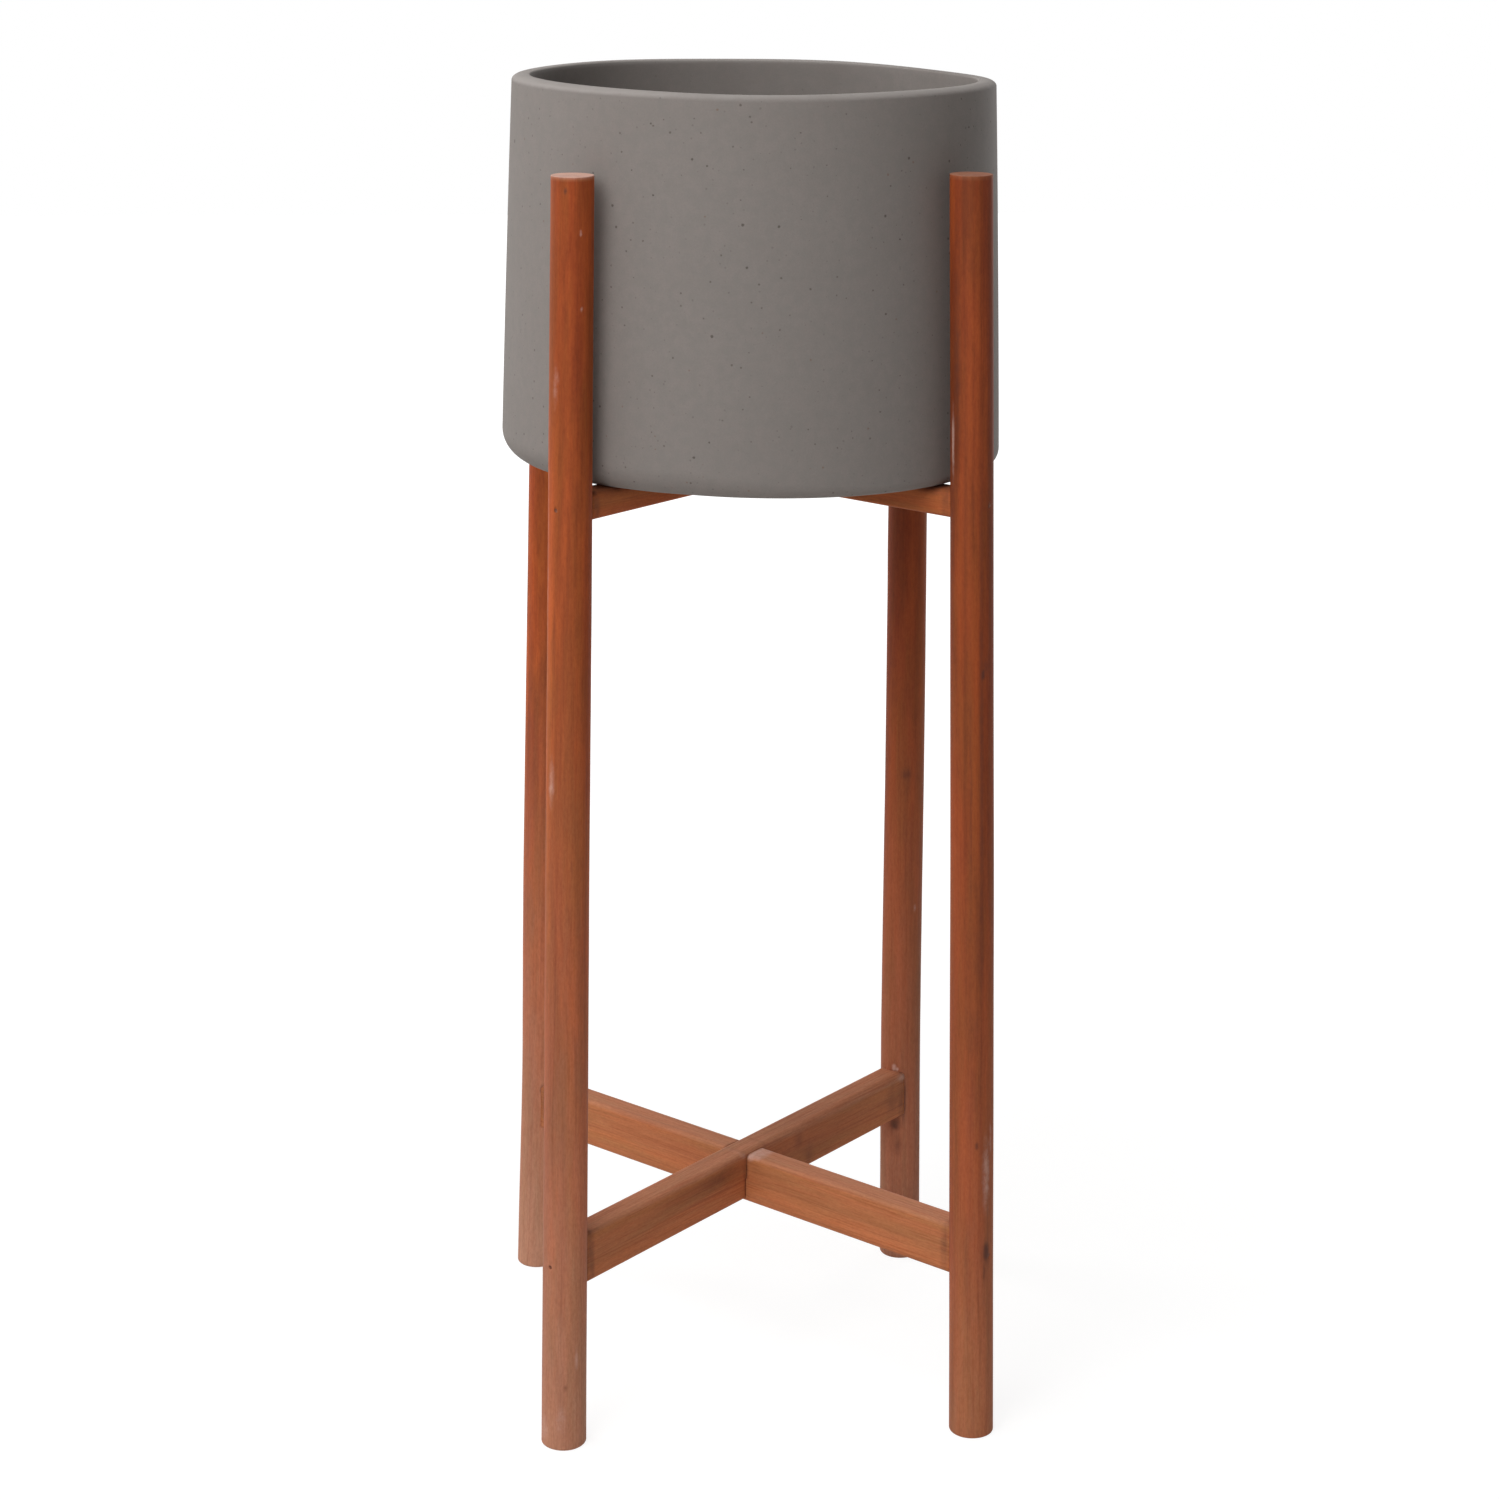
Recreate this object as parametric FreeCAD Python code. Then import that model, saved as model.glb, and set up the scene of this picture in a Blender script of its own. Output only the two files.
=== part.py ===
import FreeCAD, Part
import math
import os

os.makedirs("parts", exist_ok=True)

# A floor planter: a round ceramic pot that drops into a wooden stand with four round legs.
# Two crossing pairs of bars tie the legs together, and the pot sits on the upper pair.
# Millimetres, +Z up. The origin is on the floor, in the middle between the four feet.
# The front is towards -Y, and each pair of bars runs from a front leg to the opposite back leg.

# Pot. The share is how much of its taper is left half way up.
pot_height = 217.1
pot_widest_radius = 145.8
pot_rim_inset = 7.7
pot_taper_left_share = 0.56
pot_wall = 10.5
pot_floor = 14.0
pot_rim_outer_round = 4.5
pot_rim_inner_round = 1.2
pot_foot_round = 15.5
pot_inner_round = 12.0

# Drain hole and its rubber plug, which is pulled out from above
drain_diameter = 22.0
plug_fit = 0.08
plug_tip_room = 1.0
plug_tip_round = 1.5
plug_flange_diameter = 34.0
plug_flange_thickness = 3.0
plug_grip_diameter = 13.0
plug_grip_height = 9.0
plug_edge_round = 1.0

# Legs, which taper towards the top and lean a little, with the feet further out than the tops
leg_top_diameter = 23.6
leg_foot_diameter = 26.6
leg_height = 748.0
pot_seat_below_leg_tops = 174.0
pot_to_leg_room = 0.3
front_left_pair_spread = 15.1
front_right_pair_spread = 23.3
leg_top_round = 1.0
leg_foot_round = 1.6

# Bars
bar_width = 18.0
upper_bar_height = 15.1
lower_bar_height = 31.0
lower_bar_top = 132.4
bar_top_round = 3.5
bar_bottom_round = 2.0
glue_gap = 0.1
lap_share = 0.5

# Degrees from X to each pair of legs. Over 45, the two front legs stand closer than a front and a back one.
pair_angle = 46.2

# Two glued dowels in each bar end, side by side in an upper bar, one above the other in a lower bar
upper_dowel_diameter = 5.0
lower_dowel_diameter = 8.0
upper_dowel_offset_share = 0.25
lower_dowel_offset_share = 0.28
dowel_length_in_leg = 9.0
dowel_length_in_bar = 20.0
dowel_end_round = 0.8
bore_end_room = 1.0

# One nail through each leg into the end of the bar
nail_diameter = 1.5
nail_length = 42.0
nail_point_length = 2.5
nail_tip_diameter = 0.3
nail_head_diameter = 2.2
nail_head_thickness = 0.8
nail_head_set = 0.4

cut_overrun = 5.0

# Sizes that follow from those above
pot_rim_radius = pot_widest_radius - pot_rim_inset
pot_middle_radius = pot_rim_radius + pot_rim_inset * pot_taper_left_share
pot_seat_height = leg_height - pot_seat_below_leg_tops
leg_top_reach = pot_widest_radius + pot_to_leg_room + leg_top_diameter / 2
up = FreeCAD.Vector(0, 0, 1)
bar_sizes = {
    "upper": {"top": pot_seat_height, "height": upper_bar_height, "dowel": upper_dowel_diameter},
    "lower": {"top": lower_bar_top, "height": lower_bar_height, "dowel": lower_dowel_diameter},
}
# Each pair of legs stands on one diagonal. Its bars lie along X here and are then turned.
pairs = [
    {"angle": pair_angle, "plus": "back_right", "minus": "front_left",
     "spread": front_left_pair_spread, "lap": "over"},
    {"angle": -pair_angle, "plus": "front_right", "minus": "back_left",
     "spread": front_right_pair_spread, "lap": "under"},
]


def foot_reach(pair):
    return leg_top_reach + pair["spread"]


def reach_at(pair, height):
    return foot_reach(pair) - pair["spread"] * height / leg_height


def leg_radius_at(height):
    return (leg_foot_diameter + (leg_top_diameter - leg_foot_diameter) * height / leg_height) / 2


def middle_of(bar):
    return bar["top"] - bar["height"] / 2


def tapered_post(pair, side, room):
    # A leg that runs past both of its ends, with room around it.
    foot = FreeCAD.Vector(side * foot_reach(pair), 0, 0)
    top = FreeCAD.Vector(side * leg_top_reach, 0, leg_height)
    along = (top - foot).normalize()
    length = (top - foot).Length + 2 * cut_overrun
    lower = leg_radius_at(-cut_overrun) + room
    upper = leg_radius_at(leg_height + cut_overrun) + room
    return Part.makeCone(lower, upper, length, foot - along * cut_overrun, along)


def rod_along_x(radius, start, end, y, z):
    direction = FreeCAD.Vector(math.copysign(1, end - start), 0, 0)
    return Part.makeCylinder(radius, abs(end - start), FreeCAD.Vector(start, y, z), direction)


def dowel_places(bar):
    # Offsets of the two dowels from the middle of the bar end, as y and z.
    if bar["height"] > bar_width:
        offset = bar["height"] * lower_dowel_offset_share
        return [(0, -offset), (0, offset)]
    offset = bar_width * upper_dowel_offset_share
    return [(-offset, 0), (offset, 0)]


def dowel_rods(pair, side, bar, radius, end_room):
    z = middle_of(bar)
    face = reach_at(pair, z) - leg_radius_at(z)
    outer = face + dowel_length_in_leg + end_room
    inner = face - dowel_length_in_bar - end_room
    return [rod_along_x(radius, side * inner, side * outer, y, z + dz)
            for y, dz in dowel_places(bar)]


def dowels(pair, side, bar):
    rods = dowel_rods(pair, side, bar, bar["dowel"] / 2, 0)
    rounded = []
    for rod in rods:
        ends = [edge for edge in rod.Edges if edge.Closed]
        rounded.append(rod.makeFillet(dowel_end_round, ends))
    return Part.makeCompound(rounded)


def dowel_bores(pair, side, bar):
    return dowel_rods(pair, side, bar, bar["dowel"] / 2 + glue_gap, bore_end_room)


def nail_stations(pair, side, bar):
    # Distances from the middle of the stand to the head's face, its underside, the point and the tip.
    z = middle_of(bar)
    head = reach_at(pair, z) + leg_radius_at(z) - nail_head_set
    neck = head - nail_head_thickness
    tip = head - nail_length
    return [side * place for place in (head, neck, tip + nail_point_length, tip)]


def nail(pair, side, bar):
    z = middle_of(bar)
    head, neck, point, tip = nail_stations(pair, side, bar)
    inward = FreeCAD.Vector(-side, 0, 0)
    cap = rod_along_x(nail_head_diameter / 2, head, neck, 0, z)
    shank = rod_along_x(nail_diameter / 2, neck, point, 0, z)
    cone = Part.makeCone(nail_diameter / 2, nail_tip_diameter / 2, nail_point_length,
                         FreeCAD.Vector(point, 0, z), inward)
    return cap.fuse([shank, cone]).removeSplitter()


def nail_hole(pair, side, bar):
    z = middle_of(bar)
    head, neck, point, tip = nail_stations(pair, side, bar)
    pocket = rod_along_x(nail_head_diameter / 2 + glue_gap, head + side * cut_overrun, neck, 0, z)
    shaft = rod_along_x(nail_diameter / 2 + glue_gap, head, tip - side * bore_end_room, 0, z)
    return [pocket, shaft]


def leg(pair, side):
    far = foot_reach(pair) + leg_foot_diameter
    slab = Part.makeBox(2 * far, 2 * far, leg_height, FreeCAD.Vector(-far, -far, 0))
    post = tapered_post(pair, side, 0).common(slab)
    foot_edges = [edge for edge in post.Edges if edge.BoundBox.ZMax < leg_foot_diameter]
    post = post.makeFillet(leg_foot_round, foot_edges)
    top_edges = [edge for edge in post.Edges if edge.BoundBox.ZMin > leg_height - leg_top_diameter]
    post = post.makeFillet(leg_top_round, top_edges)
    holes = []
    for bar in bar_sizes.values():
        holes += dowel_bores(pair, side, bar)
        holes += nail_hole(pair, side, bar)
    return post.cut(holes)


def rounded_bar(length, bar):
    bottom = bar["top"] - bar["height"]
    corner = FreeCAD.Vector(-length / 2, -bar_width / 2, bottom)
    blank = Part.makeBox(length, bar_width, bar["height"], corner)
    long_edges = [edge for edge in blank.Edges if edge.BoundBox.XLength > bar_width]
    lower = [edge for edge in long_edges if edge.BoundBox.ZMax < middle_of(bar)]
    blank = blank.makeFillet(bar_bottom_round, lower)
    long_edges = [edge for edge in blank.Edges if edge.BoundBox.XLength > bar_width]
    upper = [edge for edge in long_edges if edge.BoundBox.ZMin > bar["top"] - bar_top_round]
    return blank.makeFillet(bar_top_round, upper)


def lap_notch(pair, bar):
    # The over bar is notched from below and the under bar from above, and the two floors meet.
    width = bar_width + 2 * glue_gap
    split = bar["top"] - bar["height"] * lap_share
    bottom = bar["top"] - bar["height"]
    if pair["lap"] == "over":
        low, high = bottom - cut_overrun, split
    else:
        low, high = split, bar["top"] + cut_overrun
    corner = FreeCAD.Vector(-bar_width, -width / 2, low)
    notch = Part.makeBox(2 * bar_width, width, high - low, corner)
    notch.rotate(FreeCAD.Vector(0, 0, 0), up, -2 * pair["angle"])
    return notch


def cross_bar(pair, bar):
    blank = rounded_bar(2 * reach_at(pair, middle_of(bar)), bar)
    cuts = [lap_notch(pair, bar)]
    for side in (1, -1):
        cuts.append(tapered_post(pair, side, glue_gap))
        cuts += dowel_bores(pair, side, bar)
        cuts += nail_hole(pair, side, bar)
    pieces = blank.cut(cuts).Solids
    return max(pieces, key=lambda piece: piece.Volume)


def revolved(edges):
    outline = Part.Face(Part.Wire(edges))
    return outline.revolve(FreeCAD.Vector(0, 0, 0), up, 360)


def pot():
    base = pot_seat_height
    rim = base + pot_height
    floor = base + pot_floor
    inner_rim = pot_rim_radius - pot_wall
    inner_widest = pot_widest_radius - pot_wall
    inner_middle = pot_middle_radius - pot_wall
    half_height = (base + rim) / 2
    diagonal = math.sqrt(0.5)

    def point(radius, z):
        return FreeCAD.Vector(radius, 0, z)

    def arc(a, b, c):
        return Part.Arc(point(*a), point(*b), point(*c)).toShape()

    def line(a, b):
        return Part.LineSegment(point(*a), point(*b)).toShape()

    hole = (drain_diameter / 2, base)
    foot = (pot_widest_radius - pot_foot_round, base)
    foot_bend = (foot[0] + pot_foot_round * diagonal, base + pot_foot_round * (1 - diagonal))
    wall_low = (pot_widest_radius, base + pot_foot_round)
    outer_corner = pot_rim_outer_round * (1 - diagonal)
    inner_corner = pot_rim_inner_round * (1 - diagonal)
    wall_top = (pot_rim_radius, rim - pot_rim_outer_round)
    outer_bend = (pot_rim_radius - outer_corner, rim - outer_corner)
    rim_outer = (pot_rim_radius - pot_rim_outer_round, rim)
    rim_inner = (inner_rim + pot_rim_inner_round, rim)
    inner_bend = (inner_rim + inner_corner, rim - inner_corner)
    inner_top = (inner_rim, rim - pot_rim_inner_round)
    inner_low = (inner_widest, floor + pot_inner_round)
    corner_bend = (inner_widest - pot_inner_round * (1 - diagonal), floor + pot_inner_round * (1 - diagonal))
    floor_edge = (inner_widest - pot_inner_round, floor)
    hole_top = (drain_diameter / 2, floor)
    return revolved([
        line(hole, foot),
        arc(foot, foot_bend, wall_low),
        arc(wall_low, (pot_middle_radius, half_height), wall_top),
        arc(wall_top, outer_bend, rim_outer),
        line(rim_outer, rim_inner),
        arc(rim_inner, inner_bend, inner_top),
        arc(inner_top, (inner_middle, half_height), inner_low),
        arc(inner_low, corner_bend, floor_edge),
        line(floor_edge, hole_top),
        line(hole_top, hole),
    ])


def drain_plug():
    floor = pot_seat_height + pot_floor
    stem_radius = drain_diameter / 2 - plug_fit
    stem_length = pot_floor - plug_tip_room
    stem = Part.makeCylinder(stem_radius, stem_length, FreeCAD.Vector(0, 0, floor - stem_length))
    flange = Part.makeCylinder(plug_flange_diameter / 2, plug_flange_thickness, FreeCAD.Vector(0, 0, floor))
    grip_base = FreeCAD.Vector(0, 0, floor + plug_flange_thickness)
    grip = Part.makeCylinder(plug_grip_diameter / 2, plug_grip_height, grip_base)

    def ring(piece, z):
        return [edge for edge in piece.Edges if edge.Closed and abs(edge.BoundBox.ZMax - z) < plug_fit]

    stem = stem.makeFillet(plug_tip_round, ring(stem, floor - stem_length))
    flange = flange.makeFillet(plug_edge_round, ring(flange, floor + plug_flange_thickness))
    grip = grip.makeFillet(plug_edge_round, ring(grip, grip_base.z + plug_grip_height))
    return stem.fuse([flange, grip]).removeSplitter()


def save(name, shape, angle=0):
    turned = shape.copy()
    turned.rotate(FreeCAD.Vector(0, 0, 0), up, angle)
    turned.exportStep(f"parts/{name}.step")
    print(name, "solids", len(turned.Solids), "valid", turned.isValid(), "volume", round(turned.Volume, 1))


nails = {level: [] for level in bar_sizes}
for pair in pairs:
    angle = pair["angle"]
    for side, place in ((1, pair["plus"]), (-1, pair["minus"])):
        save(f"leg_{place}", leg(pair, side), angle)
        for level, bar in bar_sizes.items():
            save(f"dowels_{level}_{place}", dowels(pair, side, bar), angle)
            driven = nail(pair, side, bar)
            driven.rotate(FreeCAD.Vector(0, 0, 0), up, angle)
            nails[level].append(driven)
    for level, bar in bar_sizes.items():
        save(f"{level}_bar_{pair['lap']}", cross_bar(pair, bar), angle)

for level, driven in nails.items():
    save(f"nails_{level}", Part.makeCompound(driven))

save("pot", pot())
save("drain_plug", drain_plug())
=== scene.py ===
# %% [markdown]
# # A speckled pot in a wooden stand
# This lesson dresses a measured model of a floor planter so that it looks like the real thing.
# The measured model gives every length. Blender adds what measuring leaves out: the wavy rim that a potter's
# hands leave, wood that was never quite round, stain that sank in unevenly, and soft studio light.
# All lengths are in metres, Z points up, and the front of the planter looks towards -Y.

# %% Load the measured model
import math
from types import SimpleNamespace

import bpy
import numpy as np
from mathutils import Matrix, Vector


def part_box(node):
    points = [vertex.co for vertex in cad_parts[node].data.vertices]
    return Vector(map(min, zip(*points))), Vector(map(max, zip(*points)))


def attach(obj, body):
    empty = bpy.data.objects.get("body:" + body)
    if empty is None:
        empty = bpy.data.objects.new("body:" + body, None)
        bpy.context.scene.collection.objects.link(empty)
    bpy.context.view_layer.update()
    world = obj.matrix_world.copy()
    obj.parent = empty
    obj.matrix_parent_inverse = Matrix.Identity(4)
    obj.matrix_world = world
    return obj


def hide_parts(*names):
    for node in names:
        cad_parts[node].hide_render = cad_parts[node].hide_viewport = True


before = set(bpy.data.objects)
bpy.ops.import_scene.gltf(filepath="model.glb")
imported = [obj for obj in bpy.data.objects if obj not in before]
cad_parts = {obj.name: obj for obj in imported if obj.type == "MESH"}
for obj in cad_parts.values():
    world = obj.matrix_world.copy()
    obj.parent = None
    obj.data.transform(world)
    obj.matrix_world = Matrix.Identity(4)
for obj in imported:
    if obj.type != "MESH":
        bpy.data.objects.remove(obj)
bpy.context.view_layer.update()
scene = bpy.context.scene
scene.view_settings.view_transform = "Standard"

# %% [markdown]
# ## The camera
# The picture that this lesson follows was taken from a little to the left, under two metres away and just
# above the rim, tipped down by 16 degrees. A camera could be aimed by hand in the viewport, but its place
# was worked out from the picture, so it is written as three turns and a position. The lens is long, which keeps
# the legs nearly upright in the picture.

# %% Place the camera
camera_place = (-0.19611, -1.88824, 0.9373)
camera_turn = math.radians(5.966)
camera_tip = math.radians(16.048)
camera_roll = math.radians(-0.4999)
lens = bpy.data.cameras.new("camera")
lens.sensor_width = 36.0
lens.lens = 78.418
camera = bpy.data.objects.new("camera", lens)
scene.collection.objects.link(camera)
scene.camera = camera
camera.matrix_world = (
    Matrix.Translation(camera_place)
    @ Matrix.Rotation(-camera_turn, 4, "Z")
    @ Matrix.Rotation(math.pi / 2 - camera_tip, 4, "X")
    @ Matrix.Rotation(-camera_roll, 4, "Z")
)
print("camera", round((camera.location - Vector((0, 0, 0.4))).length, 3), "m from the middle of the planter")

# %% [markdown]
# ## A short way to write node maths
# A material's look is worked out by nodes. Placing dozens of Math nodes by hand is slow to read, so one small
# class wraps an output socket and gives it the usual signs: writing `stain * 0.4 + 0.1` adds a Multiply and an
# Add node. Every other node comes from a single method that takes its type, its settings and its inputs.

# %% Wrap a socket and a material
class Wire:
    """An output socket that can be used in sums."""

    def __init__(self, paint, socket):
        self.paint = paint
        self.socket = socket

    def also(self, name):
        return Wire(self.paint, self.socket.node.outputs[name])

    def __add__(self, other):
        return self.paint.sum("ADD", self, other)

    def __sub__(self, other):
        return self.paint.sum("SUBTRACT", self, other)

    def __rsub__(self, other):
        return self.paint.sum("SUBTRACT", other, self)

    def __mul__(self, other):
        return self.paint.sum("MULTIPLY", self, other)

    def __lt__(self, other):
        return self.paint.sum("LESS_THAN", self, other)

    __radd__ = __add__
    __rmul__ = __mul__


class Paint:
    """A finish that is mixed from nodes."""

    def __init__(self, name, owner=None):
        self.owner = owner or bpy.data.materials.new(name)
        self.owner.use_nodes = True
        self.tree = self.owner.node_tree
        self.shader = self.tree.nodes.get("Principled BSDF")

    def node(self, kind, settings, inputs, output=0):
        """Adds a node with its settings and inputs, and wraps one of its outputs, by number or by name."""
        made = self.tree.nodes.new(kind)
        for name, value in settings.items():
            setattr(made, name, value)
        for key, value in inputs.items():
            self.feed(made, key, value)
        shown = [socket for socket in made.outputs if socket.enabled]
        if isinstance(output, str):
            return Wire(self, made.outputs[output])
        return Wire(self, shown[output])

    def feed(self, node, key, value):
        """Links a wire to an input, or writes a value into it."""
        shown = [socket for socket in node.inputs if socket.enabled]
        socket = shown[key] if isinstance(key, int) else next(s for s in shown if s.name == key)
        if isinstance(value, Wire):
            self.tree.links.new(value.socket, socket)
        else:
            socket.default_value = value

    def sum(self, operation, first, second):
        return self.node("ShaderNodeMath", {"operation": operation}, {0: first, 1: second})


print("node maths ready")

# %% [markdown]
# ## Helpers that every finish shares
# Colours are easiest to read off a picture as three numbers from 0 to 255, and the shaders want them linear, so
# one function converts them. The others wrap the nodes that come back in every finish: noise that can be
# stretched along the grain, a soft step from 0 to 1, and a mix of two colours.

# %% Colour, noise, step and mix
def colour(red, green, blue):
    def linear(value):
        value /= 255
        return value / 12.92 if value <= 0.04045 else ((value + 0.055) / 1.055) ** 2.4

    return (linear(red), linear(green), linear(blue), 1.0)


def stretched(paint, place, scale):
    """Coordinates times a scale for each axis; a scale of 0 flattens that axis."""
    return paint.node("ShaderNodeVectorMath", {"operation": "MULTIPLY"}, {0: place, 1: scale})


def noise(paint, place, scale, detail=2.0, rough=0.5):
    inputs = {"Vector": stretched(paint, place, scale), "Scale": 1.0, "Detail": detail, "Roughness": rough}
    return paint.node("ShaderNodeTexNoise", {}, inputs, "Fac")


def step(paint, value, low, high):
    """0 below low, 1 above high, and a soft rise between."""
    inputs = {"Value": value, "From Min": low, "From Max": high}
    return paint.node("ShaderNodeMapRange", {"interpolation_type": "SMOOTHSTEP"}, inputs)


def mix(paint, share, first, second, how="MIX"):
    """The first colour where share is 0, and the second where it is 1."""
    settings = {"data_type": "RGBA", "blend_type": how}
    return paint.node("ShaderNodeMix", settings, {"Factor": share, "A": first, "B": second})


def bump(paint, height, depth):
    inputs = {"Height": height, "Distance": depth, "Strength": 1.0}
    paint.feed(paint.shader, "Normal", paint.node("ShaderNodeBump", {}, inputs))


print("mid grey 128 is", round(colour(128, 128, 128)[0], 4), "linear")

# %% [markdown]
# ## Glazed stoneware
# The pot is matt grey stoneware. Iron in the clay shows through the glaze as small dark and rusty specks of
# several sizes. Speck pictures could be painted by hand, but cells of a Voronoi texture scatter them over the
# whole pot: each cell has a random colour, which decides if it holds a speck and how big it is.
# Inside, the glaze is thicker, so the specks are fainter there and soft smudges show instead.
# Along the top of the rim a paler band is painted: a painted highlight for the light that the rim catches.

# %% Sort the specks
pot_low, pot_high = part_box("pot")
seat, rim = pot_low.z, pot_high.z

# Each sort: width of a cell, width of a speck, share of cells that hold one, strength, colour.
speck_sorts = {
    "faint": (0.0036, 0.0012, 0.42, 0.32, (84, 76, 70)),
    "fine": (0.0052, 0.0014, 0.42, 0.58, (74, 66, 58)),
    "rusty": (0.0083, 0.0014, 0.34, 0.5, (112, 84, 64)),
    "middling": (0.0098, 0.0018, 0.46, 0.62, (56, 48, 39)),
    "large": (0.021, 0.0023, 0.52, 0.68, (40, 31, 26)),
}


def specks(paint, place, cell, size, share):
    """1 on specks about size wide, in the given share of cells."""
    cells = {"Vector": place, "Scale": 1 / cell}
    spot = paint.node("ShaderNodeTexVoronoi", {"feature": "F1"}, cells, "Distance")
    chance = paint.node("ShaderNodeSeparateColor", {}, {"Color": spot.also("Color")}, "Red")
    width = paint.node("ShaderNodeSeparateColor", {}, {"Color": spot.also("Color")}, "Green")
    edge = (width * 0.7 + 0.3) * (size / cell / 2)
    blur = size / cell * 0.12
    return (1 - step(paint, spot - edge, -blur, blur)) * (chance < share)


print("sorts of specks:", ", ".join(speck_sorts))

# %% Mix the stoneware
outer_skin = 0.1358  # the radius beyond which the glaze is the thin outer one
rim_highlight_heights = (rim - 0.0016, rim + 0.001)  # the heights of the painted highlight band on the rim top


def speckled_stoneware():
    clay = Paint("speckled_stoneware")
    place = clay.node("ShaderNodeTexCoord", {}, {}, "Object")
    warp = clay.node("ShaderNodeTexNoise", {}, {"Vector": place, "Scale": 900.0, "Detail": 1.0}, "Color")
    ragged = clay.node("ShaderNodeVectorMath", {"operation": "MULTIPLY_ADD"},
                       {0: warp, 1: (0.0006,) * 3, 2: place})
    cloud = noise(clay, place, (9, 9, 14), 3.0, 0.6)
    grit = noise(clay, place, (1100, 1100, 1100), 2.0, 0.6)
    bands = noise(clay, place, (5, 5, 260), 2.0, 0.5)
    mottle = noise(clay, place, (170, 170, 170), 3.0, 0.6)
    base = mix(clay, step(clay, cloud, 0.3, 0.7), colour(133, 126, 122), colour(137, 130, 126))
    base = mix(clay, step(clay, mottle, 0.3, 0.7) * 0.7, base, colour(127, 123, 119))
    base = mix(clay, grit * 0.62, base, colour(120, 112, 107))
    base = mix(clay, bands * 0.12, base, colour(122, 116, 110))
    height = clay.node("ShaderNodeSeparateXYZ", {}, {"Vector": place}, "Z")
    # painted highlight: the rim top is painted paler, for the light that it catches
    rim_highlight = step(clay, height + mottle * 0.0015, *rim_highlight_heights)
    base = mix(clay, rim_highlight * 0.42, base, colour(176, 170, 166))
    flat = stretched(clay, place, (1, 1, 0))
    radius = clay.node("ShaderNodeVectorMath", {"operation": "LENGTH"}, {0: flat}, "Value")
    outside = step(clay, radius, outer_skin - 0.0006, outer_skin + 0.0006) * 0.75 + 0.25
    smudge = step(clay, noise(clay, place, (42, 42, 42), 3.0, 0.6), 0.42, 0.66)
    base = mix(clay, smudge * (1.25 - outside) * 0.14, base, colour(112, 104, 99))
    spots = {}
    for sort, (cell, size, share, strength, tone) in speck_sorts.items():
        spots[sort] = specks(clay, ragged, cell, size, share)
        base = mix(clay, spots[sort] * strength * outside, base, colour(*tone))
    clay.feed(clay.shader, "Base Color", base)
    clay.feed(clay.shader, "Roughness", cloud * 0.1 + 0.7 + grit * 0.08)
    clay.feed(clay.shader, "Specular IOR Level", 0.24)
    pits = spots["fine"] + spots["middling"]
    bump(clay, grit * 0.5 + bands * 0.35 - pits * 0.6, 0.0001)
    return clay.owner


stoneware = speckled_stoneware()
print(stoneware.name, "has", len(stoneware.node_tree.nodes), "nodes")

# %% [markdown]
# ## Stained wood
# The stand is a pale tropical hardwood under a reddish brown stain. Its grain runs along each stick, so the
# finish can't use the planter's own coordinates: every stick carries an attribute called grain, which says how
# far a point lies across and along that stick. Noise that is squeezed along it gives fibres and streaks, and
# distance from an off-centre pith gives growth rings, which turn into arcs on the sawn ends by themselves.
# A wood picture could be wrapped round each stick instead, but it would stretch and show a seam.

# %% Grow the grain
pith_place = (0.021, 0.013, 0)
rings_per_metre = 340


def wood_grain(wood, grain):
    """Noise that follows the grain, from broad flow to fine fibres, each from 0 to 1."""
    bend = noise(wood, grain, (22, 22, 3.5), 2.0)
    across = {0: stretched(wood, grain, (1, 1, 0)), 1: pith_place}
    pith = wood.node("ShaderNodeVectorMath", {"operation": "DISTANCE"}, across, "Value")
    turn = (pith * rings_per_metre + bend * 9) * (2 * math.pi)
    return SimpleNamespace(
        ring=wood.node("ShaderNodeMath", {"operation": "SINE"}, {0: turn}) * 0.5 + 0.5,
        flow=noise(wood, grain, (62, 62, 3), 2.0, 0.5),
        mottle=noise(wood, grain, (210, 210, 42), 4.0, 0.62),
        fibre=noise(wood, grain, (1300, 1300, 90), 3.0, 0.68),
        fleck=noise(wood, grain, (900, 900, 330), 2.0, 0.6),
        streak=step(wood, noise(wood, grain, (330, 330, 7), 2.0, 0.5), 0.56, 0.74),
        line=step(wood, noise(wood, grain, (760, 760, 13), 2.0, 0.6), 0.5, 0.68),
        brown=step(wood, noise(wood, grain, (105, 105, 9), 3.0, 0.6), 0.36, 0.7),
    )


print("growth rings", round(1000 / rings_per_metre, 1), "mm apart")
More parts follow.
